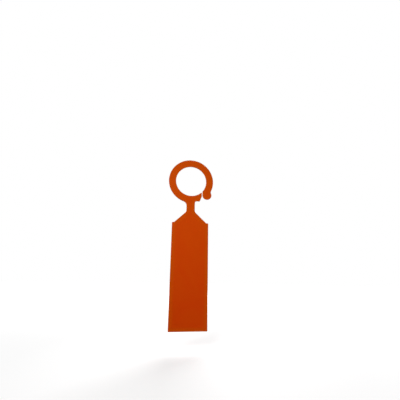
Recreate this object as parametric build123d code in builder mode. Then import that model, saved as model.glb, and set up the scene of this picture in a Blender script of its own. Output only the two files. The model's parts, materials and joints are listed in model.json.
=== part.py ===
from build123d import *
import math
import os

# A blank hanging plant tag of one thin sheet of plastic: a writing panel, sloped shoulders, a neck
# and a split ring, which is twisted or spread open at its finger tab, put round a stem and let go.
# The tag stands in the XZ plane with the ring at the top, its front face towards -Y. The origin is
# the centre of the ring's bore. Lengths are in millimetres. Angles are in degrees, round the origin
# from +X towards +Z.

# Sheet
sheet_thickness = 0.8

# Ring
bore_radius = 11.2
band_width = 5.2

# Slit of the ring, between the tapered nose of the stub and the round finger tab
slit_width = 0.5
nose_height = 3.5
nose_taper = 1.45
nose_corner_radius = 0.6
stub_trim = 1.4
stub_root_radius = 1.4
stub_root_angle = 288
tab_radius = 3.35
tab_overhang = 2.5
tab_angle = -40.2
tab_root_angle = -15
tab_waist_radius = 2.0

# Neck and shoulders
neck_width = 6.0
neck_length = 6.55
neck_root_radius = 3.4
neck_foot_radius = 2.8
shoulder_height = 7.95
ledge_width = 1.45

# Writing panel
panel_width = 26.0
panel_length = 71.75
panel_corner_radius = 0.5

# Places where the sheet flexes, from the saddle round the ring to the arm with the finger tab
ring_flex_angles = [225, 180, 135, 90, 45]
ring_flex_step = 14
neck_bend_drop = 2.9
neck_twist_drop = 4.9
flex_clearance = 0.06

# Worked out from the sizes above
outer_radius = bore_radius + band_width
half_thickness = sheet_thickness / 2
half_neck = neck_width / 2
overrun = 2 * outer_radius
flex_gap = sheet_thickness * math.tan(math.radians(ring_flex_step / 2)) + flex_clearance

neck_top_z = -outer_radius
neck_bend_z = neck_top_z - neck_bend_drop
neck_twist_z = neck_top_z - neck_twist_drop
shoulder_top_z = neck_top_z - neck_length
panel_top_z = shoulder_top_z - shoulder_height
panel_middle_z = panel_top_z - panel_length / 2

tab_centre_radius = outer_radius + tab_overhang - tab_radius
tab_x = tab_centre_radius * math.cos(math.radians(tab_angle))
tab_z = tab_centre_radius * math.sin(math.radians(tab_angle))
tab_left_x = tab_x - tab_radius
nose_x = tab_left_x - slit_width
nose_low_z = -math.sqrt(bore_radius**2 - nose_x**2) - nose_height
stub_foot_z = stub_trim - outer_radius


def on_circle(radius, angle):
    """Gives the point of a circle round the ring's centre at an angle."""
    turn = math.radians(angle)
    return radius * math.cos(turn), radius * math.sin(turn)


def ring_stretch(start_angle, end_angle, start_gap, end_gap):
    """Draws the band from start_angle on to end_angle, each end half a gap back from its angle."""
    Circle(outer_radius)
    Circle(bore_radius, mode=Mode.SUBTRACT)
    trim_ring(start_angle, end_angle, start_gap, end_gap)


def trim_ring(start_angle, end_angle, start_gap, end_gap):
    """Keeps what a sketch has from start_angle on to end_angle, which is under half a turn."""
    start_foot = on_circle(start_gap / 2, start_angle + 90)
    with Locations(Location((*start_foot, 0), (0, 0, start_angle))):
        Rectangle(overrun, overrun, align=(Align.CENTER, Align.MAX), mode=Mode.SUBTRACT)
    end_foot = on_circle(end_gap / 2, end_angle - 90)
    with Locations(Location((*end_foot, 0), (0, 0, end_angle))):
        Rectangle(overrun, overrun, align=(Align.CENTER, Align.MIN), mode=Mode.SUBTRACT)


os.makedirs("parts", exist_ok=True)

# The saddle is the bottom of the ring, where it runs into the neck, with its right side trimmed
# level for the stub
saddle_foot_z = neck_bend_z + half_thickness + flex_clearance
neck_root_z = -math.sqrt(outer_radius**2 - half_neck**2)
with BuildPart() as ring_saddle:
    with BuildSketch(Plane.XZ):
        Circle(outer_radius)
        with Locations((0, saddle_foot_z)):
            Rectangle(neck_width, outer_radius, align=(Align.CENTER, Align.MIN))
        Circle(bore_radius, mode=Mode.SUBTRACT)
        with Locations((half_neck, stub_foot_z)):
            Rectangle(overrun, overrun, align=(Align.MIN, Align.MAX), mode=Mode.SUBTRACT)
        fillet(vertices().sort_by_distance((-half_neck, neck_root_z))[0], neck_root_radius)
        fillet(vertices().sort_by_distance((half_neck, stub_foot_z))[0], stub_root_radius)
        trim_ring(ring_flex_angles[0], stub_root_angle, flex_gap, 0)
    extrude(amount=half_thickness, both=True)
ring_saddle.part.label = "ring_saddle"
export_step(ring_saddle.part, "parts/ring_saddle.step")

# The stub carries on from the saddle to the slit, with a level foot and a tapered nose
stub_root_x = stub_foot_z / math.tan(math.radians(stub_root_angle))
stub_corner_x = nose_x - nose_taper
with BuildPart() as catch_stub:
    with BuildSketch(Plane.XZ):
        with BuildLine():
            Polyline(
                (0, 0),
                (stub_root_x, stub_foot_z),
                (stub_corner_x, stub_foot_z),
                (nose_x, nose_low_z),
                (nose_x, 0),
                close=True,
            )
        make_face()
        Circle(bore_radius, mode=Mode.SUBTRACT)
        fillet(vertices().sort_by_distance((stub_corner_x, stub_foot_z))[0], nose_corner_radius)
    extrude(amount=half_thickness, both=True)
catch_stub.part.label = "catch_stub"
export_step(catch_stub.part, "parts/catch_stub.step")

# Four like stretches of the band lead round the ring, one between each two places where it flexes
arc_names = [
    "ring_arc_lower_left",
    "ring_arc_upper_left",
    "ring_arc_top_left",
    "ring_arc_top_right",
]
for index, arc_name in enumerate(arc_names):
    with BuildPart() as ring_arc:
        with BuildSketch(Plane.XZ):
            ring_stretch(ring_flex_angles[index + 1], ring_flex_angles[index], flex_gap, flex_gap)
        extrude(amount=half_thickness, both=True)
    ring_arc.part.label = arc_name
    export_step(ring_arc.part, f"parts/{arc_name}.step")

# The arm comes down the right side of the ring to the finger tab
with BuildPart() as ring_arm:
    with BuildSketch(Plane.XZ):
        ring_stretch(tab_root_angle, ring_flex_angles[-1], 0, flex_gap)
    extrude(amount=half_thickness, both=True)
ring_arm.part.label = "ring_arm"
export_step(ring_arm.part, "parts/ring_arm.step")

# The finger tab is the arm's free end: a disc that stands out past the band, with a small waist
waist_cosine = (outer_radius**2 + tab_centre_radius**2 - tab_radius**2) / (
    2 * outer_radius * tab_centre_radius
)
waist_angle = tab_angle + math.degrees(math.acos(waist_cosine))
with BuildPart() as finger_tab:
    with BuildSketch(Plane.XZ):
        ring_stretch(tab_angle - 90, tab_root_angle, 0, 0)
        with Locations((tab_left_x, tab_z)):
            Rectangle(overrun, overrun, align=(Align.MIN, Align.MIN), mode=Mode.INTERSECT)
        with Locations((tab_x, tab_z)):
            Circle(tab_radius)
        waist = vertices().sort_by_distance(on_circle(outer_radius, waist_angle))[0]
        fillet(waist, tab_waist_radius)
    extrude(amount=half_thickness, both=True)
finger_tab.part.label = "finger_tab"
export_step(finger_tab.part, "parts/finger_tab.step")

# The neck's web bends at its half-round upper end and twists at its square lower end
web_foot_z = neck_twist_z + flex_clearance / 2
web_length = neck_bend_z - web_foot_z
with BuildPart() as neck_web:
    with BuildSketch(Plane.YZ):
        with Locations((0, neck_bend_z)):
            Circle(half_thickness)
            Rectangle(sheet_thickness, web_length, align=(Align.CENTER, Align.MAX))
    extrude(amount=half_neck, both=True)
neck_web.part.label = "neck_web"
export_step(neck_web.part, "parts/neck_web.step")

# The shoulders slope out from the neck's foot and stop a ledge short of the panel's corners
shoulder_end_x = panel_width / 2 - ledge_width
shoulder_neck_z = neck_twist_z - flex_clearance / 2
with BuildPart() as shoulder:
    with BuildSketch(Plane.XZ):
        with BuildLine():
            Polyline(
                (-half_neck, shoulder_neck_z),
                (-half_neck, shoulder_top_z),
                (-shoulder_end_x, panel_top_z),
                (shoulder_end_x, panel_top_z),
                (half_neck, shoulder_top_z),
                (half_neck, shoulder_neck_z),
                close=True,
            )
        make_face()
        fillet(vertices().group_by(Axis.Y)[1], neck_foot_radius)
    extrude(amount=half_thickness, both=True)
shoulder.part.label = "shoulder"
export_step(shoulder.part, "parts/shoulder.step")

# The writing panel hangs from the shoulders and is blank on both faces
with BuildPart() as writing_panel:
    with BuildSketch(Plane.XZ):
        with Locations((0, panel_middle_z)):
            RectangleRounded(panel_width, panel_length, panel_corner_radius)
    extrude(amount=half_thickness, both=True)
writing_panel.part.label = "writing_panel"
export_step(writing_panel.part, "parts/writing_panel.step")
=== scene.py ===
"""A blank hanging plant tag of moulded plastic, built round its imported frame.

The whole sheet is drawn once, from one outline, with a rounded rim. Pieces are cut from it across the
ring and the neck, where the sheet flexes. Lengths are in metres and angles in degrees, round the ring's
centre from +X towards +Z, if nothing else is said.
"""

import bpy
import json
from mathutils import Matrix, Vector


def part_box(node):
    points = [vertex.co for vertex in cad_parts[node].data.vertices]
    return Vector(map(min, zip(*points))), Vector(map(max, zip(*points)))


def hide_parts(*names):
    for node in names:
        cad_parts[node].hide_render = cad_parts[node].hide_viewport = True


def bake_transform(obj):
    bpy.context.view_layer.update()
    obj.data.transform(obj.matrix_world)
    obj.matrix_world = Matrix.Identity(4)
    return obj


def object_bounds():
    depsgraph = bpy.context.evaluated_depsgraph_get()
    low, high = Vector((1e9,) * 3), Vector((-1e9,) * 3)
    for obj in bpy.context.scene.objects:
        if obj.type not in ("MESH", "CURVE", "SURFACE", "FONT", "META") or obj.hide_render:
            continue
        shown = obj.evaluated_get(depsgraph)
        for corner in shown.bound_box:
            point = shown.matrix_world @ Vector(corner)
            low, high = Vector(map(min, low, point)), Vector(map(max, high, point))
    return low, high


bl_info = {
    "name": "Hanging Plant Tag",
    "version": (1, 0, 0),
    "blender": (4, 5, 0),
    "location": "3D View > Sidebar > Plant Tag",
    "description": "Builds a blank ring tag of moulded plastic piece by piece, on a pale stage",
    "category": "Object",
}

import json
import math

import bmesh
import bpy
from bpy.props import FloatProperty, FloatVectorProperty, IntProperty, PointerProperty
from mathutils import Matrix, Vector
from mathutils.geometry import delaunay_2d_cdt
from mathutils.kdtree import KDTree

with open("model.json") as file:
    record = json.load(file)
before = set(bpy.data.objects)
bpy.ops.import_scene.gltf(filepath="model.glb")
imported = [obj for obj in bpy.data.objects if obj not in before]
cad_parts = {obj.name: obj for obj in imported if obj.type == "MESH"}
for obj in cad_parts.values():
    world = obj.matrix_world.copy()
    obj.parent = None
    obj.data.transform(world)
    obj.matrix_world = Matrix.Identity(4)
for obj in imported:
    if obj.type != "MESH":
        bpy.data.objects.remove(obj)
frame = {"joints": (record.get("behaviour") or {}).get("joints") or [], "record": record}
cad_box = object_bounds()

MM = 0.001

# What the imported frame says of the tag's sizes
mounts = {mount["name"]: mount for mount in frame["record"]["mounts"]}
joints = {joint["name"]: joint for joint in frame["joints"]}
joint_places = {name: Vector(joint["pos_m"]) for name, joint in joints.items()}
ring_bore_radius = mounts["ring_bore"]["dims"]["r_mm"] * MM
arc_low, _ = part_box("ring_arc_upper_left")
stub_low, stub_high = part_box("catch_stub")
tab_low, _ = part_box("finger_tab")
web_low, web_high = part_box("neck_web")
shoulder_low, shoulder_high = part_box("shoulder")
panel_low, panel_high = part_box("writing_panel")

# Rest places, rim wear and distances from the edge are kept on the meshes under these names, for the
# materials
PLACE_NAME = "rest_place"
WEAR_NAME = "rim_wear"
EDGE_NAME = "edge_distance"


def length(name, description, default):
    """Makes the property of a length, in metres."""
    return FloatProperty(
        name=name, description=description, default=default, min=0, precision=5, unit="LENGTH"
    )


def share(name, description, default):
    """Makes the property of a share from 0 to 1."""
    return FloatProperty(
        name=name, description=description, default=default, min=0, max=1, subtype="FACTOR"
    )


def colour(name, description, default):
    """Makes the property of a colour, in linear red, green and blue."""
    return FloatVectorProperty(
        name=name, description=description, default=default, min=0, max=1, size=3, subtype="COLOR"
    )


def turn_angle(name, description, default):
    """Makes the property of an angle, in radians."""
    return FloatProperty(name=name, description=description, default=default, subtype="ANGLE")


def light_power(name, description, default):
    """Makes the property of a light's power, in watts."""
    return FloatProperty(name=name, description=description, default=default, min=0, unit="POWER")


def pixel_measure(name, description, default):
    """Makes the property of a measure in pixels of the frame."""
    return FloatProperty(name=name, description=description, default=default, subtype="PIXEL")


class TagSizes(bpy.types.PropertyGroup):
    """Sizes of the tag's outline, its rim and its mesh."""

    sheet_thickness: length("Sheet thickness", "Thickness of the plastic", panel_high.y - panel_low.y)
    bore_radius: length("Bore radius", "Inner radius of the ring", ring_bore_radius)
    outer_radius: length("Outer radius", "Outer radius of the ring", -arc_low.x)
    nose_reach: length("Nose reach", "How far right of the ring's centre the stub's nose ends", stub_high.x)
    nose_height: length("Nose height", "Height of the nose's upright side at the slit", 3.5 * MM)
    nose_taper: length("Nose taper", "How far the nose leans over from its foot to the slit", 1.45 * MM)
    nose_corner_radius: length("Nose corner", "Rounding of the nose's lower corner", 0.6 * MM)
    stub_foot: length("Stub foot", "How far under the ring's centre the stub ends", -stub_low.z)
    stub_root_radius: length("Stub root", "Rounding between the stub and the neck", 1.4 * MM)
    slit_corner_radius: length(
        "Slit corner", "Rounding of nose and tab where the slit meets the bore", 0.35 * MM
    )
    tab_reach: length("Tab reach", "How far right of the ring's centre the finger tab begins", tab_low.x)
    tab_foot: length("Tab foot", "How far under the ring's centre the finger tab ends", -tab_low.z)
    tab_radius: length("Tab radius", "Radius of the round finger tab", 3.35 * MM)
    tab_waist_radius: length("Tab waist", "Rounding of the notch between band and tab", 2.0 * MM)
    neck_width: length("Neck width", "Width of the neck", web_high.x - web_low.x)
    neck_length: length("Neck length", "Length from the ring to the shoulders", 6.55 * MM)
    neck_root_radius: length("Neck root", "Rounding between the ring and the neck", 3.4 * MM)
    neck_foot_radius: length("Neck foot", "Rounding between the neck and the shoulders", 2.8 * MM)
    shoulder_width: length("Shoulder width", "Width over both shoulders", shoulder_high.x - shoulder_low.x)
    panel_width: length("Panel width", "Width of the writing panel", panel_high.x - panel_low.x)
    panel_length: length("Panel length", "Length of the writing panel", panel_high.z - panel_low.z)
    panel_corner_radius: length("Panel corner", "Rounding of the panel's corners", 0.5 * MM)
    rim_radius: length("Rim radius", "Rounding of the sheet's edges", 0.16 * MM)
    rim_wear_reach: length("Rim wear reach", "How far in from the edge the rim is rubbed", 0.28 * MM)
    rim_steps: IntProperty(name="Rim steps", description="Faces across each rounding", default=4, min=1)
    mesh_step: length("Mesh step", "Spacing of the mesh in the neck and the ring", 0.5 * MM)
    panel_mesh_step: length("Panel mesh step", "Spacing of the mesh in the panel", 2.0 * MM)


class TagColours(bpy.types.PropertyGroup):
    """Colours of the plastic, strengths of its small variations, and of the painted shade and light on it."""

    plastic: colour("Plastic", "Colour of the moulded plastic", (0.525, 0.0525, 0.0002))
    # The deep colour serves the flow marks, and also painted shade that deepens the colour towards the
    # panel's foot
    marked_and_shaded_plastic: colour("Deep plastic", "Colour of the deeper flow marks", (0.525, 0.038, 0.0001))
    # Painted light: a yellower colour near the edges, for light that gets into the sheet there
    painted_edge_light: colour(
        "Edge plastic", "Colour near the edges, where light gets in", (0.48, 0.072, 0.0003)
    )
    rubbed_plastic: colour("Rubbed plastic", "Colour of edges rubbed pale", (0.62, 0.1, 0.012))
    drift: share("Drift", "Strength of the flow marks", 0.35)
    # Painted shade: how far the colour deepens towards the panel's foot, where the light falls off
    deepening: share("Deepening", "How much deeper the colour is at the panel's foot", 0.6)
    # Painted light: strength of the yellower colour near the edges
    glow: share("Edge glow", "Strength of the yellower colour near the edges", 0.8)
    glow_reach: length("Edge glow reach", "How far in from the edge the yellower colour shows", 3.2 * MM)
    rubbing: share("Rubbing", "Strength of the pale rubbed edges", 0.8)
    grain: share("Grain", "Strength of the matt writing grain", 0.7)
    floor: colour("Floor", "Colour of the stage's floor", (0.6, 0.6, 0.6))


class StageSettings(bpy.types.PropertyGroup):
    """Camera and light of the stage."""

    focal_pixels: pixel_measure("Focal length", "Focal length in pixels of the frame", 290.0)
    ring_pixel_x: pixel_measure("Ring across", "Pixel of the ring's centre, from the left", 191.26)
    ring_pixel_y: pixel_measure("Ring down", "Pixel of the ring's centre, from the top", 181.32)
    ring_distance: length("Ring distance", "Depth of the ring's centre before the camera", 214.04 * MM)
    tilt: turn_angle("Tilt", "How far the camera looks up", 0.25197)
    turn: turn_angle("Turn", "How far the tag is turned to the camera", 0.17866)
    roll: turn_angle("Roll", "How far the tag leans in the frame", 0.01567)
    floor_gap: length("Floor gap", "Height of the hanging tag over the floor", 12.0 * MM)
    key_power: light_power("Key light", "Power of the soft light before the tag", 0.12)
    fill_power: light_power("Fill light", "Power of the light from the other side", 0.29)
    back_power: light_power("Back light", "Power of the light behind the tag", 2.6)
    key_spread: turn_angle("Key spread", "Angle of the soft light", math.radians(54))
    sky: share("Sky", "Strength of the even light from all round", 0.2)
    floor_lift: share("Floor lift", "How much brighter the floor looks than it is lit, near the tag", 0.56)


# Outline

# The ring's mesh has a spoke every few degrees, and a small arc's points keep to the two limits
RING_STEP = 2.5
WIDEST_ARC_STEP = math.radians(12)
SHORTEST_EDGE = 0.12 * MM
COUNTERCLOCKWISE = 1
CLOCKWISE = -1


def on_circle(radius, angle):
    """Gives the point of a circle round the ring's centre."""
    turn = math.radians(angle)
    return Vector((radius * math.cos(turn), radius * math.sin(turn)))


def angle_of(point):
    """Gives the angle of a point round the ring's centre."""
    return math.degrees(math.atan2(point.y, point.x))


def line(start, end, step):
    """Lists even points of a straight edge, without its end."""
    count = math.ceil((end - start).length / step)
    return [start.lerp(end, index / count) for index in range(count)]


def arc(centre, start, end, way, step):
    """Lists even points of an arc, counterclockwise or clockwise, without its end."""
    first, last = start - centre, end - centre
    start_turn = math.atan2(first.y, first.x)
    sweep = way * ((way * (math.atan2(last.y, last.x) - start_turn)) % math.tau)
    turn_step = max(min(step / first.length, WIDEST_ARC_STEP), SHORTEST_EDGE / first.length)
    count = math.ceil(abs(sweep) / turn_step)
    turns = [start_turn + sweep * index / count for index in range(count)]
    return [centre + first.length * Vector((math.cos(turn), math.sin(turn))) for turn in turns]


def ring_arc(radius, first, last):
    """Lists the points of a ring's circle at whole steps of its angle, with its start, without its end."""
    low, high = sorted((first, last))
    least_gap = 0.4
    low_step = math.ceil(low / RING_STEP + least_gap)
    high_step = math.floor(high / RING_STEP - least_gap)
    angles = [step * RING_STEP for step in range(low_step, high_step + 1)]
    if last < first:
        angles.reverse()
    return [on_circle(radius, angle) for angle in [first, *angles]]


def rounded_corner(before, corner, after, radius):
    """Gives start, centre and end of the arc that rounds a corner between straight edges."""
    back, onward = (before - corner).normalized(), (after - corner).normalized()
    half_angle = back.angle(onward) / 2
    reach = radius / math.tan(half_angle)
    centre = corner + (back + onward).normalized() * (radius / math.sin(half_angle))
    return corner + back * reach, centre, corner + onward * reach


def meeting_of_circles(radius, centre, other_radius):
    """Gives where a circle round the ring's centre meets another, counterclockwise of its centre."""
    distance = centre.length
    angle = math.acos((radius**2 + distance**2 - other_radius**2) / (2 * radius * distance))
    return on_circle(radius, angle_of(centre) + math.degrees(angle))


def slit_corner(sizes, side_x, inner_x):
    """Gives the centre of the rounding between the bore and a side of the slit, and its end on the bore."""
    reach = sizes.bore_radius + sizes.slit_corner_radius
    centre = Vector((inner_x, -math.sqrt(reach**2 - inner_x**2)))
    return Vector((side_x, centre.y)), centre, centre * (sizes.bore_radius / reach)


def right_side(sizes):
    """Lists the outline from the middle of the panel's foot up the right side to the stub's root."""
    half_panel, half_neck = sizes.panel_width / 2, sizes.neck_width / 2
    half_shoulders = sizes.shoulder_width / 2
    shoulder_z = -sizes.outer_radius - sizes.neck_length
    foot = Vector((0, panel_high.z - sizes.panel_length))
    low_corner = Vector((half_panel, foot.y))
    high_corner = Vector((half_panel, panel_high.z))
    ledge_end = Vector((half_shoulders, panel_high.z))
    neck_corner = Vector((half_neck, shoulder_z))
    neck_top = Vector((half_neck, -sizes.stub_foot - sizes.stub_root_radius))

    low_start, low_centre, low_end = rounded_corner(
        foot, low_corner, high_corner, sizes.panel_corner_radius
    )
    high_start, high_centre, high_end = rounded_corner(
        low_corner, high_corner, ledge_end, sizes.panel_corner_radius
    )
    neck_start, neck_centre, neck_end = rounded_corner(
        ledge_end, neck_corner, neck_top, sizes.neck_foot_radius
    )
    bend_seam = Vector((half_neck, neck_seams[0]))
    twist_seam = Vector((half_neck, neck_seams[1]))
    return [
        *line(foot, low_start, sizes.panel_mesh_step),
        *arc(low_centre, low_start, low_end, COUNTERCLOCKWISE, sizes.mesh_step),
        *line(low_end, high_start, sizes.panel_mesh_step),
        *arc(high_centre, high_start, high_end, COUNTERCLOCKWISE, sizes.mesh_step),
        *line(high_end, ledge_end, sizes.mesh_step),
        *line(ledge_end, neck_start, 2 * sizes.mesh_step),
        *arc(neck_centre, neck_start, neck_end, CLOCKWISE, sizes.mesh_step),
        *line(neck_end, twist_seam, sizes.mesh_step),
        *line(twist_seam, bend_seam, sizes.mesh_step),
        *line(bend_seam, neck_top, sizes.mesh_step),
        neck_top,
    ]


def stub_side(sizes):
    """Lists the outline from the stub's root, without it, along its foot and up its nose to the bore."""
    stub_corner = Vector((sizes.neck_width / 2, -sizes.stub_foot))
    nose_foot = Vector((sizes.nose_reach - sizes.nose_taper, -sizes.stub_foot))
    nose_top_z = -math.sqrt(sizes.bore_radius**2 - sizes.nose_reach**2)
    nose_side = Vector((sizes.nose_reach, nose_top_z - sizes.nose_height))
    under_corner = stub_corner - Vector((0, 1))
    root_start, root_centre, root_end = rounded_corner(
        under_corner, stub_corner, nose_foot, sizes.stub_root_radius
    )
    nose_start, nose_centre, nose_end = rounded_corner(
        stub_corner, nose_foot, nose_side, sizes.nose_corner_radius
    )
    tip_start, tip_centre, tip_end = slit_corner(
        sizes, sizes.nose_reach, sizes.nose_reach - sizes.slit_corner_radius
    )
    return [
        *arc(root_centre, root_start, root_end, CLOCKWISE, sizes.mesh_step)[1:],
        *line(root_end, nose_start, sizes.mesh_step),
        *arc(nose_centre, nose_start, nose_end, COUNTERCLOCKWISE, sizes.mesh_step),
        *line(nose_end, nose_side, sizes.mesh_step),
        *line(nose_side, tip_start, sizes.mesh_step),
        *arc(tip_centre, tip_start, tip_end, COUNTERCLOCKWISE, sizes.mesh_step),
        tip_end,
    ]


def ring_side(sizes, bore_start, outer_end):
    """Lists the outline from the stub round the bore, round the tab and back to the neck's left root."""
    bore, outer = sizes.bore_radius, sizes.outer_radius
    tab_centre = Vector((sizes.tab_reach, -sizes.tab_foot)) + Vector((1, 1)) * sizes.tab_radius
    top_end, top_centre, top_start = slit_corner(
        sizes, sizes.tab_reach, sizes.tab_reach + sizes.slit_corner_radius
    )
    tab_side = Vector((sizes.tab_reach, tab_centre.y))
    waist = meeting_of_circles(
        outer + sizes.tab_waist_radius, tab_centre, sizes.tab_radius + sizes.tab_waist_radius
    )
    waist_start = waist.lerp(
        tab_centre, sizes.tab_waist_radius / (sizes.tab_radius + sizes.tab_waist_radius)
    )
    waist_end = waist * (outer / (outer + sizes.tab_waist_radius))
    return [
        *ring_arc(bore, angle_of(bore_start) % 360, angle_of(top_start))[1:],
        *arc(top_centre, top_start, top_end, COUNTERCLOCKWISE, sizes.mesh_step),
        *line(top_end, tab_side, sizes.mesh_step),
        *arc(tab_centre, tab_side, waist_start, COUNTERCLOCKWISE, sizes.mesh_step),
        *arc(waist, waist_start, waist_end, CLOCKWISE, sizes.mesh_step),
        *ring_arc(outer, angle_of(waist_end), angle_of(outer_end) % 360),
    ]


def left_side(sizes, right, root, root_start):
    """Lists the outline from the neck's left root down to the panel's foot, at the right side's heights."""
    radius = sizes.neck_root_radius

    def beside_root(height):
        """Gives the point of the root's rounding at a height."""
        return Vector((root.x + math.sqrt(radius**2 - (height - root.y) ** 2), height))

    down = [point for point in reversed(right[1:]) if point.y < neck_seams[0] + sizes.mesh_step / 2]
    return [
        *arc(root, root_start, beside_root(neck_seams[0]), CLOCKWISE, sizes.mesh_step),
        *[beside_root(point.y) for point in down if point.y > root.y],
        *[Vector((-point.x, point.y)) for point in down if point.y <= root.y],
    ]


def tag_outline(sizes):
    """Lists the whole outline counterclockwise, as the front is seen, from the middle of the foot."""
    right = right_side(sizes)
    stub = stub_side(sizes)
    root_x = sizes.neck_width / 2 + sizes.neck_root_radius
    root_reach = sizes.outer_radius + sizes.neck_root_radius
    root = Vector((-root_x, -math.sqrt(root_reach**2 - root_x**2)))
    root_start = root * (sizes.outer_radius / root_reach)
    ring = ring_side(sizes, stub[-1], root_start)
    return right + stub + ring + left_side(sizes, right, root, root_start)


# Sheet

# Joints of the ring, counterclockwise from the arm, with a cut across the band halfway between each two
RING_JOINTS = ["ring_bend_high", "ring_spread_top", "ring_twist", "ring_spread_left", "ring_bend_low"]
ring_joint_angles = [
    math.degrees(math.atan2(joint_places[name].z, joint_places[name].x)) % 360 for name in RING_JOINTS
]
ring_seams = [(low + high) / 2 for low, high in zip(ring_joint_angles, ring_joint_angles[1:])]

# Cuts across the neck, downwards: one above its bend, and one part of the way from bend to twist
NECK_SEAM_RISE = 1.1 * MM
NECK_SEAM_SHARE = 0.65
bend_z, twist_z = joint_places["neck_bend"].z, joint_places["neck_twist"].z
neck_seams = [
    bend_z + NECK_SEAM_RISE,
    bend_z * (1 - NECK_SEAM_SHARE) + twist_z * NECK_SEAM_SHARE,
]

# The triangulation keeps only what lies inside the outline, and joins two triangles to one face where
# its corners are no further than this from square
INSIDE_ONLY = 1
MOST_OUT_OF_SQUARE = math.radians(50)


def inward_vectors(outline):
    """Gives for each point the vector that moves both edges beside it inwards by one metre."""
    normals = []
    for point, after in zip(outline, outline[1:] + outline[:1]):
        along = (after - point).normalized()
        normals.append(Vector((-along.y, along.x)))
    return [
        (before + normal) / (1 + before.dot(normal))
        for before, normal in zip(normals[-1:] + normals[:-1], normals)
    ]


def rim_profile(sizes):
    """Lists inset, depth and wear round the rim, from the front face to the back face."""
    half_thickness, radius = sizes.sheet_thickness / 2, sizes.rim_radius
    front = [(sizes.rim_wear_reach, -half_thickness, 0)]
    for step in range(sizes.rim_steps + 1):
        turn = math.pi / 2 * step / sizes.rim_steps
        inset = radius * (1 - math.sin(turn))
        depth = radius * (1 - math.cos(turn)) - half_thickness
        wear = (1 + math.sin(2 * turn)) / 2
        front.append((inset, depth, wear))
    return front + [(inset, -depth, wear) for inset, depth, wear in reversed(front)]


def tree_of(points):
    """Makes the search tree that finds the nearest of flat points."""
    tree = KDTree(len(points))
    for index, point in enumerate(points):
        tree.insert(point.to_3d(), index)
    tree.balance()
    return tree


def inner_points(sizes, border, side_count):
    """Lists points inside the inset border: spokes across the ring's band, and rows across the rest."""
    inner_radius = sizes.bore_radius + sizes.rim_wear_reach
    outer_radius = sizes.outer_radius - sizes.rim_wear_reach
    ring_count = round((outer_radius - inner_radius) / (2 * sizes.mesh_step))
    points = []
    for spoke in range(round(360 / RING_STEP)):
        for index in range(1, ring_count):
            radius = inner_radius + (outer_radius - inner_radius) * index / ring_count
            points.append(on_circle(radius, spoke * RING_STEP))
    row_z = border[0].y
    for point in border[1:side_count]:
        gap = point.y - row_z
        if gap < sizes.mesh_step / 2 or point.y > -sizes.outer_radius:
            continue
        count = max(2, round(2 * point.x / gap))
        points += [Vector((point.x * (2 * index / count - 1), point.y)) for index in range(1, count)]
        row_z = point.y

    tree = tree_of(border)
    return [point for point in points if tree.find(point.to_3d())[2] > sizes.mesh_step / 2]


def whole_sheet(sizes):
    """Makes the whole tag as one closed mesh: flat faces in material 0 and the rounded rim in 1."""
    outline = tag_outline(sizes)
    profile = rim_profile(sizes)
    sheet = bmesh.new()
    edge_layer = sheet.verts.layers.float.new(EDGE_NAME)
    wear_layer = sheet.verts.layers.float.new(WEAR_NAME)
    columns = []
    for point, inwards in zip(outline, inward_vectors(outline)):
        column = []
        for inset, depth, wear in profile:
            place = point + inwards * inset
            vertex = sheet.verts.new((place.x, depth, place.y))
            vertex[wear_layer] = wear
            column.append(vertex)
        columns.append(column)
    for column, after in zip(columns, columns[1:] + columns[:1]):
        for level in range(len(profile) - 1):
            face = sheet.faces.new((column[level + 1], after[level + 1], after[level], column[level]))
            face.material_index = int(0 < level < len(profile) - 2)

    border = [Vector((column[0].co.x, column[0].co.z)) for column in columns]
    inner = inner_points(sizes, border, len(right_side(sizes)))
    loop = list(range(len(border)))
    tolerance = sizes.rim_radius / 1000
    points, _, triangles, sources, _, _ = delaunay_2d_cdt(
        border + inner, [], [loop], INSIDE_ONLY, tolerance
    )
    half_thickness = sizes.sheet_thickness / 2
    # The front face joins the rim's first level, and the back face, in turned order, its last
    for depth, level, order in ((-half_thickness, 0, 1), (half_thickness, -1, -1)):
        corners = []
        for point, source in zip(points, sources):
            if source[0] < len(border):
                corners.append(columns[source[0]][level])
            else:
                corners.append(sheet.verts.new((point.x, depth, point.y)))
        flat = [sheet.faces.new([corners[index] for index in triangle][::order]) for triangle in triangles]
        bmesh.ops.join_triangles(
            sheet,
            faces=flat,
            angle_face_threshold=math.pi,
            angle_shape_threshold=MOST_OUT_OF_SQUARE,
        )
    loose = [vertex for vertex in sheet.verts if not vertex.link_faces]
    bmesh.ops.delete(sheet, geom=loose, context="VERTS")
    edge_tree = tree_of(outline)
    for vertex in sheet.verts:
        vertex[edge_layer] = edge_tree.find((vertex.co.x, vertex.co.z, 0))[2]
    for face in sheet.faces:
        face.smooth = True
    return sheet


def way_round(place, sizes):
    """Gives the angle counterclockwise round the ring, below zero only on the arm."""
    angle = math.degrees(math.atan2(place.z, place.x))
    on_arm = place.x > (sizes.nose_reach + sizes.tab_reach) / 2
    return angle if angle > 0 or on_arm else angle + 360


def cut_from_sheet(sizes, name, belongs):
    """Cuts the faces that belong to a piece from the whole sheet and closes the cuts with flat caps."""
    sheet = whole_sheet(sizes)
    others = [face for face in sheet.faces if not belongs(face.calc_center_median())]
    bmesh.ops.delete(sheet, geom=others, context="FACES")
    cut_edges = [edge for edge in sheet.edges if edge.is_boundary]
    caps = bmesh.ops.holes_fill(sheet, edges=cut_edges, sides=0)["faces"]
    bmesh.ops.recalc_face_normals(sheet, faces=sheet.faces)
    for cap in caps:
        cap.smooth = False
        cap.material_index = 1
    for edge in cut_edges:
        edge.smooth = False
    data = bpy.data.meshes.new(name)
    sheet.to_mesh(data)
    sheet.free()
    return data


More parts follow.
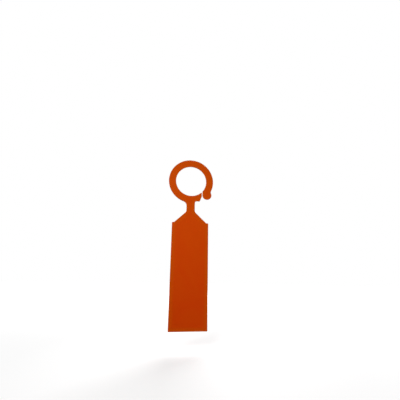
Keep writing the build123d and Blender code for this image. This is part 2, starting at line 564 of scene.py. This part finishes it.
def add_piece(context, name, belongs, *nodes):
    """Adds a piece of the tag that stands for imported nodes, with its rest places kept for the materials."""
    data = cut_from_sheet(context.scene.plant_tag_sizes, name, belongs)
    places = data.attributes.new(PLACE_NAME, "FLOAT_VECTOR", "POINT")
    for vertex, place in zip(data.vertices, places.data):
        place.vector = vertex.co
    colours = context.scene.plant_tag_colours
    data.materials.append(face_plastic(colours))
    data.materials.append(rim_plastic(colours))
    piece = bpy.data.objects.new(name, data)
    context.scene.collection.objects.link(piece)
    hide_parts(*nodes)
    return piece


def bend_at_ring(piece):
    """Bakes the transform of a piece of the ring into its mesh."""
    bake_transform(piece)


# Materials

PLASTIC_IOR = 1.49

# Places of the colour sockets on a Mix node, which has sockets of every kind
MIX_FIRST = 6
MIX_SECOND = 7
MIX_RESULT = 2

# The range that most of a noise's values lie in
NOISE_LOW = 0.3
NOISE_HIGH = 0.7


def new_group(name, inputs, outputs):
    """Makes a shader node group with named inputs and outputs, and gives its tree and both end nodes."""
    tree = bpy.data.node_groups.new(name, "ShaderNodeTree")
    for socket_name, kind in inputs:
        tree.interface.new_socket(socket_name, in_out="INPUT", socket_type=kind)
    for socket_name, kind in outputs:
        tree.interface.new_socket(socket_name, in_out="OUTPUT", socket_type=kind)
    return tree, tree.nodes.new("NodeGroupInput"), tree.nodes.new("NodeGroupOutput")


def noise_at(tree, place, detail):
    """Adds a noise texture that reads a place in metres, and gives it."""
    noise = tree.nodes.new("ShaderNodeTexNoise")
    noise.inputs["Detail"].default_value = detail
    tree.links.new(place, noise.inputs["Vector"])
    return noise


def one_over(tree, value):
    """Adds the node that turns a size into a texture's scale, and gives its output."""
    node = tree.nodes.new("ShaderNodeMath")
    node.operation = "DIVIDE"
    node.inputs[0].default_value = 1
    tree.links.new(value, node.inputs[1])
    return node.outputs[0]


def mapped(tree, value, low, high):
    """Adds the node that spreads a value's range from low to high over 0 to 1, and gives its output."""
    node = tree.nodes.new("ShaderNodeMapRange")
    node.interpolation_type = "SMOOTHSTEP"
    node.inputs["From Min"].default_value = low
    node.inputs["From Max"].default_value = high
    tree.links.new(value, node.inputs["Value"])
    return node.outputs["Result"]


def times(tree, value, other):
    """Adds the node that multiplies two values, and gives its output."""
    node = tree.nodes.new("ShaderNodeMath")
    node.operation = "MULTIPLY"
    tree.links.new(value, node.inputs[0])
    tree.links.new(other, node.inputs[1])
    return node.outputs[0]


def mixed_colour(tree, amount, first, second):
    """Adds the node that mixes two colours, and gives its output."""
    node = tree.nodes.new("ShaderNodeMix")
    node.data_type = "RGBA"
    tree.links.new(amount, node.inputs["Factor"])
    tree.links.new(first, node.inputs[MIX_FIRST])
    tree.links.new(second, node.inputs[MIX_SECOND])
    return node.outputs[MIX_RESULT]


def marks_and_foot_shade_group():
    """Gives the group for faint cloudy marks where plastic flowed in its mould, with painted shade that
    deepens the colour towards the foot.
    """
    found = bpy.data.node_groups.get("flow_marks_and_foot_shade")
    if found:
        return found
    inputs = [
        ("Place", "NodeSocketVector"),
        ("Colour", "NodeSocketColor"),
        ("Deep Colour", "NodeSocketColor"),
        ("Mark Size", "NodeSocketFloat"),
        ("Strength", "NodeSocketFloat"),
        ("Deepening", "NodeSocketFloat"),
        ("Top", "NodeSocketFloat"),
        ("Foot", "NodeSocketFloat"),
    ]
    tree, start, end = new_group("flow_marks_and_foot_shade", inputs, [("Colour", "NodeSocketColor")])
    noise = noise_at(tree, start.outputs["Place"], detail=3)
    noise.inputs["Distortion"].default_value = 0.6
    tree.links.new(one_over(tree, start.outputs["Mark Size"]), noise.inputs["Scale"])
    cloudy = mapped(tree, noise.outputs["Fac"], low=NOISE_LOW, high=NOISE_HIGH)
    marks = times(tree, cloudy, start.outputs["Strength"])
    parts = tree.nodes.new("ShaderNodeSeparateXYZ")
    tree.links.new(start.outputs["Place"], parts.inputs[0])
    # Painted shade: the colour deepens from the shoulders' top down to the panel's foot, where the light
    # falls off
    foot_shade_ramp = tree.nodes.new("ShaderNodeMapRange")
    tree.links.new(parts.outputs["Z"], foot_shade_ramp.inputs["Value"])
    tree.links.new(start.outputs["Top"], foot_shade_ramp.inputs["From Min"])
    tree.links.new(start.outputs["Foot"], foot_shade_ramp.inputs["From Max"])
    tree.links.new(start.outputs["Deepening"], foot_shade_ramp.inputs["To Max"])
    marks_and_foot_shade = tree.nodes.new("ShaderNodeMath")
    marks_and_foot_shade.operation = "ADD"
    marks_and_foot_shade.use_clamp = True
    tree.links.new(marks, marks_and_foot_shade.inputs[0])
    tree.links.new(foot_shade_ramp.outputs["Result"], marks_and_foot_shade.inputs[1])
    amount = marks_and_foot_shade.outputs[0]
    tree.links.new(
        mixed_colour(tree, amount, start.outputs["Colour"], start.outputs["Deep Colour"]),
        end.inputs["Colour"],
    )
    return tree


def edge_glow_group():
    """Gives the group for painted light: a yellower colour near the edges, where light gets into the sheet.
    """
    found = bpy.data.node_groups.get("edge_glow")
    if found:
        return found
    inputs = [
        ("Place", "NodeSocketVector"),
        ("Colour", "NodeSocketColor"),
        ("Edge Colour", "NodeSocketColor"),
        ("Distance", "NodeSocketFloat"),
        ("Reach", "NodeSocketFloat"),
        ("Waver Size", "NodeSocketFloat"),
        ("Strength", "NodeSocketFloat"),
    ]
    tree, start, end = new_group("edge_glow", inputs, [("Colour", "NodeSocketColor")])
    noise = noise_at(tree, start.outputs["Place"], detail=2)
    tree.links.new(one_over(tree, start.outputs["Waver Size"]), noise.inputs["Scale"])
    nearness = tree.nodes.new("ShaderNodeMapRange")
    tree.links.new(start.outputs["Distance"], nearness.inputs["Value"])
    tree.links.new(start.outputs["Reach"], nearness.inputs["From Max"])
    nearness.inputs["To Min"].default_value = 1
    nearness.inputs["To Max"].default_value = 0
    waver = tree.nodes.new("ShaderNodeMapRange")
    tree.links.new(noise.outputs["Fac"], waver.inputs["Value"])
    waver.inputs["To Min"].default_value = 0.6
    waver.inputs["To Max"].default_value = 1.4
    near = times(tree, nearness.outputs["Result"], waver.outputs["Result"])
    amount = times(tree, near, start.outputs["Strength"])
    tree.links.new(
        mixed_colour(tree, amount, start.outputs["Colour"], start.outputs["Edge Colour"]),
        end.inputs["Colour"],
    )
    return tree


def rubbed_edge_group():
    """Gives the group for edges that handling has rubbed pale, more in some stretches than in others."""
    found = bpy.data.node_groups.get("rubbed_edge")
    if found:
        return found
    inputs = [
        ("Place", "NodeSocketVector"),
        ("Colour", "NodeSocketColor"),
        ("Rubbed Colour", "NodeSocketColor"),
        ("Wear", "NodeSocketFloat"),
        ("Stretch Size", "NodeSocketFloat"),
        ("Strength", "NodeSocketFloat"),
    ]
    tree, start, end = new_group("rubbed_edge", inputs, [("Colour", "NodeSocketColor")])
    noise = noise_at(tree, start.outputs["Place"], detail=4)
    tree.links.new(one_over(tree, start.outputs["Stretch Size"]), noise.inputs["Scale"])
    patches = mapped(tree, noise.outputs["Fac"], low=0.35, high=0.65)
    worn = times(tree, patches, start.outputs["Wear"])
    amount = times(tree, worn, start.outputs["Strength"])
    tree.links.new(
        mixed_colour(tree, amount, start.outputs["Colour"], start.outputs["Rubbed Colour"]),
        end.inputs["Colour"],
    )
    return tree


def mould_grain_group():
    """Gives the group for the fine pitted grain that a matt mould leaves."""
    found = bpy.data.node_groups.get("mould_grain")
    if found:
        return found
    inputs = [("Place", "NodeSocketVector"), ("Grain Size", "NodeSocketFloat")]
    tree, start, end = new_group("mould_grain", inputs, [("Height", "NodeSocketFloat")])
    scale = one_over(tree, start.outputs["Grain Size"])
    noise = noise_at(tree, start.outputs["Place"], detail=2)
    tree.links.new(scale, noise.inputs["Scale"])
    pits = tree.nodes.new("ShaderNodeTexVoronoi")
    pits.feature = "SMOOTH_F1"
    tree.links.new(start.outputs["Place"], pits.inputs["Vector"])
    tree.links.new(scale, pits.inputs["Scale"])
    tree.links.new(times(tree, noise.outputs["Fac"], pits.outputs["Distance"]), end.inputs["Height"])
    return tree


def handling_group():
    """Gives the group for a sheen that varies in soft patches where the tag was handled."""
    found = bpy.data.node_groups.get("handling")
    if found:
        return found
    inputs = [
        ("Place", "NodeSocketVector"),
        ("Patch Size", "NodeSocketFloat"),
        ("Smoothest", "NodeSocketFloat"),
        ("Roughest", "NodeSocketFloat"),
    ]
    tree, start, end = new_group("handling", inputs, [("Roughness", "NodeSocketFloat")])
    noise = noise_at(tree, start.outputs["Place"], detail=3)
    tree.links.new(one_over(tree, start.outputs["Patch Size"]), noise.inputs["Scale"])
    spread = tree.nodes.new("ShaderNodeMapRange")
    spread.inputs["From Min"].default_value = NOISE_LOW
    spread.inputs["From Max"].default_value = NOISE_HIGH
    tree.links.new(noise.outputs["Fac"], spread.inputs["Value"])
    tree.links.new(start.outputs["Smoothest"], spread.inputs["To Min"])
    tree.links.new(start.outputs["Roughest"], spread.inputs["To Max"])
    tree.links.new(spread.outputs["Result"], end.inputs["Roughness"])
    return tree


def placed_group(tree, group, place, **values):
    """Places a group in a material with its own values, named as the group's inputs with _ for spaces."""
    node = tree.nodes.new("ShaderNodeGroup")
    node.node_tree = group
    tree.links.new(place, node.inputs["Place"])
    for name, value in values.items():
        node.inputs[name.replace("_", " ").title()].default_value = value
    return node


def attribute_of(tree, name):
    """Adds the node that reads what a mesh keeps under a name."""
    node = tree.nodes.new("ShaderNodeAttribute")
    node.attribute_name = name
    return node


def tag_plastic(name, colours, shine, grain_size, grain_depth, grain, smoothest, roughest, mark_size):
    """Makes a moulded plastic with flow marks, painted shade towards the foot, painted light in a yellower
    colour near the edges, rubbed edges, a grain and a varying sheen.
    """
    found = bpy.data.materials.get(name)
    if found:
        return found
    material = bpy.data.materials.new(name)
    material.use_nodes = True
    tree = material.node_tree
    shader = tree.nodes["Principled BSDF"]
    shader.inputs["Specular IOR Level"].default_value = shine
    shader.inputs["IOR"].default_value = PLASTIC_IOR
    place = attribute_of(tree, PLACE_NAME).outputs["Vector"]
    # Flow marks, and painted shade that deepens the colour towards the panel's foot
    marks = placed_group(
        tree,
        marks_and_foot_shade_group(),
        place,
        colour=(*colours.plastic, 1),
        deep_colour=(*colours.marked_and_shaded_plastic, 1),
        mark_size=mark_size,
        strength=colours.drift,
        deepening=colours.deepening,
        top=shoulder_high.z,
        foot=panel_low.z,
    )
    # Painted light: a yellower colour near the edges, where light gets into the sheet
    glow = placed_group(
        tree,
        edge_glow_group(),
        place,
        edge_colour=(*colours.painted_edge_light, 1),
        reach=colours.glow_reach,
        waver_size=5 * MM,
        strength=colours.glow,
    )
    rubbed = placed_group(
        tree,
        rubbed_edge_group(),
        place,
        rubbed_colour=(*colours.rubbed_plastic, 1),
        stretch_size=3 * MM,
        strength=colours.rubbing,
    )
    tree.links.new(marks.outputs["Colour"], glow.inputs["Colour"])
    tree.links.new(attribute_of(tree, EDGE_NAME).outputs["Fac"], glow.inputs["Distance"])
    tree.links.new(glow.outputs["Colour"], rubbed.inputs["Colour"])
    tree.links.new(attribute_of(tree, WEAR_NAME).outputs["Fac"], rubbed.inputs["Wear"])
    tree.links.new(rubbed.outputs["Colour"], shader.inputs["Base Color"])
    sheen = placed_group(
        tree,
        handling_group(),
        place,
        patch_size=9 * MM,
        smoothest=smoothest,
        roughest=roughest,
    )
    tree.links.new(sheen.outputs["Roughness"], shader.inputs["Roughness"])
    grain_group = placed_group(tree, mould_grain_group(), place, grain_size=grain_size)
    bump = tree.nodes.new("ShaderNodeBump")
    bump.inputs["Strength"].default_value = grain
    bump.inputs["Distance"].default_value = grain_depth
    tree.links.new(grain_group.outputs["Height"], bump.inputs["Height"])
    tree.links.new(bump.outputs["Normal"], shader.inputs["Normal"])
    return material


def face_plastic(colours):
    """Gives the matt finish of the flat faces, which takes writing."""
    return tag_plastic(
        "tag_face_plastic",
        colours,
        shine=0.02,
        grain_size=0.3 * MM,
        grain_depth=0.12 * MM,
        grain=colours.grain,
        smoothest=0.46,
        roughest=0.6,
        mark_size=16 * MM,
    )


def rim_plastic(colours):
    """Gives the smoother finish of the sheet's rounded rim."""
    return tag_plastic(
        "tag_rim_plastic",
        colours,
        shine=0.12,
        grain_size=0.5 * MM,
        grain_depth=0.03 * MM,
        grain=colours.grain / 2,
        smoothest=0.34,
        roughest=0.46,
        mark_size=8 * MM,
    )


# Stage

FRAME_PIXELS = 400
SENSOR_WIDTH = 36.0

# Out to its near radius the floor is brightened least, and from its far radius on it is white
FLOOR_RADIUS = 1.5
FLOOR_NEAR_RADIUS = 0.1
FLOOR_FAR_RADIUS = 0.5
FLOOR_SEGMENTS = 96

# Places and sides of the square lights
KEY_PLACE = (-0.15, -0.28, 0.10)
KEY_SIDE = 0.16
FILL_PLACE = (0.45, -0.25, 0.05)
FILL_SIDE = 0.30
BACK_PLACE = (0.20, 0.45, 0.30)
BACK_SIDE = 0.34


def seen_or_reflected(tree):
    """Adds the nodes that pick out camera, glossy and transmission rays, and gives their output."""
    rays = tree.nodes.new("ShaderNodeLightPath")
    picked = rays.outputs["Is Camera Ray"]
    for name in ("Is Glossy Ray", "Is Transmission Ray"):
        either = tree.nodes.new("ShaderNodeMath")
        either.operation = "MAXIMUM"
        tree.links.new(picked, either.inputs[0])
        tree.links.new(rays.outputs[name], either.inputs[1])
        picked = either.outputs[0]
    return picked


def stage_floor(colours, low_lift, near, far):
    """Makes the pale floor, which keeps the tag's shadow and fades into the white behind it far off."""
    material = bpy.data.materials.new("pale_floor")
    material.use_nodes = True
    tree = material.node_tree
    shader = tree.nodes["Principled BSDF"]
    shader.inputs["Base Color"].default_value = (*colours.floor, 1)
    shader.inputs["Roughness"].default_value = 0.9
    shader.inputs["Specular IOR Level"].default_value = 0
    shader.inputs["Emission Color"].default_value = (1, 1, 1, 1)
    place = tree.nodes.new("ShaderNodeTexCoord")
    distance = tree.nodes.new("ShaderNodeVectorMath")
    distance.operation = "LENGTH"
    tree.links.new(place.outputs["Object"], distance.inputs[0])
    lift = tree.nodes.new("ShaderNodeMapRange")
    lift.inputs["From Min"].default_value = near
    lift.inputs["From Max"].default_value = far
    lift.inputs["To Min"].default_value = low_lift
    lift.inputs["To Max"].default_value = 1
    tree.links.new(distance.outputs["Value"], lift.inputs["Value"])
    strength = times(tree, lift.outputs["Result"], seen_or_reflected(tree))
    tree.links.new(strength, shader.inputs["Emission Strength"])
    return material


# Operators


class PLANTTAG_OT_ring_base(bpy.types.Operator):
    """Build the bottom of the ring with its stub, and the band up to the first cut"""

    bl_idname = "plant_tag.ring_base"
    bl_label = "Ring Base"

    def execute(self, context):
        sizes = context.scene.plant_tag_sizes

        def belongs(place):
            return place.z > neck_seams[0] and way_round(place, sizes) > ring_seams[-1]

        piece = add_piece(context, "tag_ring_base", belongs, "ring_saddle", "catch_stub")
        bend_at_ring(piece)
        return {"FINISHED"}


class PLANTTAG_OT_ring_bands(bpy.types.Operator):
    """Build the three like stretches of band round the left and the top of the ring"""

    bl_idname = "plant_tag.ring_bands"
    bl_label = "Ring Bands"

    def execute(self, context):
        sizes = context.scene.plant_tag_sizes
        bands = [
            ("tag_ring_top", "ring_arc_top_left", "ring_spread_top"),
            ("tag_ring_upper_left", "ring_arc_upper_left", "ring_twist"),
            ("tag_ring_left", "ring_arc_lower_left", "ring_spread_left"),
        ]
        for low, high, (name, node, joint_name) in zip(ring_seams, ring_seams[1:], bands):

            def belongs(place):
                return place.z > neck_seams[0] and low < way_round(place, sizes) < high

            piece = add_piece(context, name, belongs, node)
            bend_at_ring(piece)
        return {"FINISHED"}


class PLANTTAG_OT_ring_arm(bpy.types.Operator):
    """Build the ring's right side with the round finger tab"""

    bl_idname = "plant_tag.ring_arm"
    bl_label = "Ring Arm"

    def execute(self, context):
        sizes = context.scene.plant_tag_sizes

        def belongs(place):
            return place.z > neck_seams[0] and way_round(place, sizes) < ring_seams[0]

        nodes = ["ring_arc_top_right", "ring_arm", "finger_tab"]
        piece = add_piece(context, "tag_ring_arm", belongs, *nodes)
        bend_at_ring(piece)
        return {"FINISHED"}


class PLANTTAG_OT_neck(bpy.types.Operator):
    """Build the short neck, which bends to front and back"""

    bl_idname = "plant_tag.neck"
    bl_label = "Neck"

    def execute(self, context):
        def belongs(place):
            return neck_seams[1] < place.z < neck_seams[0]

        piece = add_piece(context, "tag_neck", belongs, "neck_web")
        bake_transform(piece)
        return {"FINISHED"}


class PLANTTAG_OT_panel(bpy.types.Operator):
    """Build the writing panel with its shoulders, which twist where they meet the neck"""

    bl_idname = "plant_tag.panel"
    bl_label = "Panel"

    def execute(self, context):
        def belongs(place):
            return place.z < neck_seams[1]

        piece = add_piece(context, "tag_panel", belongs, "shoulder", "writing_panel")
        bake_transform(piece)
        return {"FINISHED"}


class PLANTTAG_OT_stage(bpy.types.Operator):
    """Build the pale floor, the soft lights and the camera"""

    bl_idname = "plant_tag.stage"
    bl_label = "Stage"

    def execute(self, context):
        scene = context.scene
        stage = scene.plant_tag_stage
        self.add_floor(scene, stage)
        self.add_camera(scene, stage)
        self.add_sky(scene, stage)
        middle = (cad_box[0] + cad_box[1]) / 2
        shoulders = (shoulder_low + shoulder_high) / 2
        key = self.add_light(scene, "key_light", KEY_PLACE, shoulders, KEY_SIDE, stage.key_power)
        key.spread = stage.key_spread
        self.add_light(scene, "fill_light", FILL_PLACE, middle, FILL_SIDE, stage.fill_power)
        self.add_light(scene, "back_light", BACK_PLACE, middle, BACK_SIDE, stage.back_power)
        scene.view_settings.view_transform = "Standard"
        return {"FINISHED"}

    def add_floor(self, scene, stage):
        """Adds the round floor under the hanging tag."""
        mesh = bmesh.new()
        bmesh.ops.create_circle(mesh, cap_ends=True, segments=FLOOR_SEGMENTS, radius=FLOOR_RADIUS)
        data = bpy.data.meshes.new("stage_floor")
        mesh.to_mesh(data)
        mesh.free()
        colours = scene.plant_tag_colours
        material = stage_floor(colours, stage.floor_lift, FLOOR_NEAR_RADIUS, FLOOR_FAR_RADIUS)
        data.materials.append(material)
        floor = bpy.data.objects.new("stage_floor", data)
        floor.location.z = panel_low.z - stage.floor_gap
        scene.collection.objects.link(floor)

    def add_camera(self, scene, stage):
        """Adds the camera from the turn, tilt and roll of the tag before it and its place in the frame."""
        across = Vector((math.cos(stage.turn), 0, math.sin(stage.turn)))
        down = Vector((0, math.cos(stage.tilt), -math.sin(stage.tilt)))
        across = (across - across.dot(down) * down).normalized()
        roll = Matrix.Rotation(stage.roll, 3, "Z")
        across, down = roll @ across, roll @ down
        back = across.cross(down)
        middle = FRAME_PIXELS / 2
        ring = stage.ring_distance * Vector(
            (
                (stage.ring_pixel_x - middle) / stage.focal_pixels,
                (stage.ring_pixel_y - middle) / stage.focal_pixels,
                1,
            )
        )
        to_frame = Matrix((across, back, -down))
        place = -(to_frame @ ring)
        flip = Matrix(((1, 0, 0), (0, -1, 0), (0, 0, -1)))
        data = bpy.data.cameras.new("camera")
        data.sensor_width = SENSOR_WIDTH
        data.lens = SENSOR_WIDTH * stage.focal_pixels / FRAME_PIXELS
        data.clip_start = 1 * MM
        camera = bpy.data.objects.new("camera", data)
        camera.matrix_world = Matrix.Translation(place) @ (to_frame @ flip).to_4x4()
        scene.collection.objects.link(camera)
        scene.camera = camera

    def add_sky(self, scene, stage):
        """Adds the even light from all round, which the camera and reflections see as white."""
        world = bpy.data.worlds.new("stage_sky")
        scene.world = world
        world.use_nodes = True
        tree = world.node_tree
        background = tree.nodes["Background"]
        background.inputs["Color"].default_value = (1, 1, 1, 1)
        strength = tree.nodes.new("ShaderNodeMapRange")
        strength.inputs["To Min"].default_value = stage.sky
        strength.inputs["To Max"].default_value = 1
        tree.links.new(seen_or_reflected(tree), strength.inputs["Value"])
        tree.links.new(strength.outputs["Result"], background.inputs["Strength"])

    def add_light(self, scene, name, place, target, side, power):
        """Adds a square soft light that faces a target, and gives its data."""
        data = bpy.data.lights.new(name, "AREA")
        data.size = side
        data.energy = power
        light = bpy.data.objects.new(name, data)
        light.location = place
        light.rotation_euler = (Vector(place) - target).to_track_quat("Z", "Y").to_euler()
        scene.collection.objects.link(light)
        return data


class PLANTTAG_PT_panel(bpy.types.Panel):
    """Lists the steps that build the tag and its stage, with their sizes and colours"""

    bl_idname = "PLANTTAG_PT_panel"
    bl_label = "Plant Tag"
    bl_space_type = "VIEW_3D"
    bl_region_type = "UI"
    bl_category = "Plant Tag"

    def draw(self, context):
        layout = self.layout
        for operator in OPERATORS:
            layout.operator(operator.bl_idname)
        scene = context.scene
        for group in (scene.plant_tag_sizes, scene.plant_tag_colours, scene.plant_tag_stage):
            column = layout.column(align=True)
            for name in group.bl_rna.properties.keys():
                if name not in ("name", "rna_type"):
                    column.prop(group, name)


PROPERTY_GROUPS = (TagSizes, TagColours, StageSettings)
OPERATORS = (
    PLANTTAG_OT_ring_base,
    PLANTTAG_OT_ring_bands,
    PLANTTAG_OT_ring_arm,
    PLANTTAG_OT_neck,
    PLANTTAG_OT_panel,
    PLANTTAG_OT_stage,
)


def register():
    """Registers the property groups, the operators and the sidebar's panel."""
    for group in (*PROPERTY_GROUPS, *OPERATORS, PLANTTAG_PT_panel):
        bpy.utils.register_class(group)
    bpy.types.Scene.plant_tag_sizes = PointerProperty(type=TagSizes)
    bpy.types.Scene.plant_tag_colours = PointerProperty(type=TagColours)
    bpy.types.Scene.plant_tag_stage = PointerProperty(type=StageSettings)


def unregister():
    """Takes back what register added."""
    del bpy.types.Scene.plant_tag_stage
    del bpy.types.Scene.plant_tag_colours
    del bpy.types.Scene.plant_tag_sizes
    for group in reversed((*PROPERTY_GROUPS, *OPERATORS, PLANTTAG_PT_panel)):
        bpy.utils.unregister_class(group)


def main():
    """Builds every piece and the stage."""
    register()
    bpy.ops.plant_tag.ring_base()
    bpy.ops.plant_tag.ring_bands()
    bpy.ops.plant_tag.ring_arm()
    bpy.ops.plant_tag.neck()
    bpy.ops.plant_tag.panel()
    bpy.ops.plant_tag.stage()


if __name__ == "__main__":
    main()
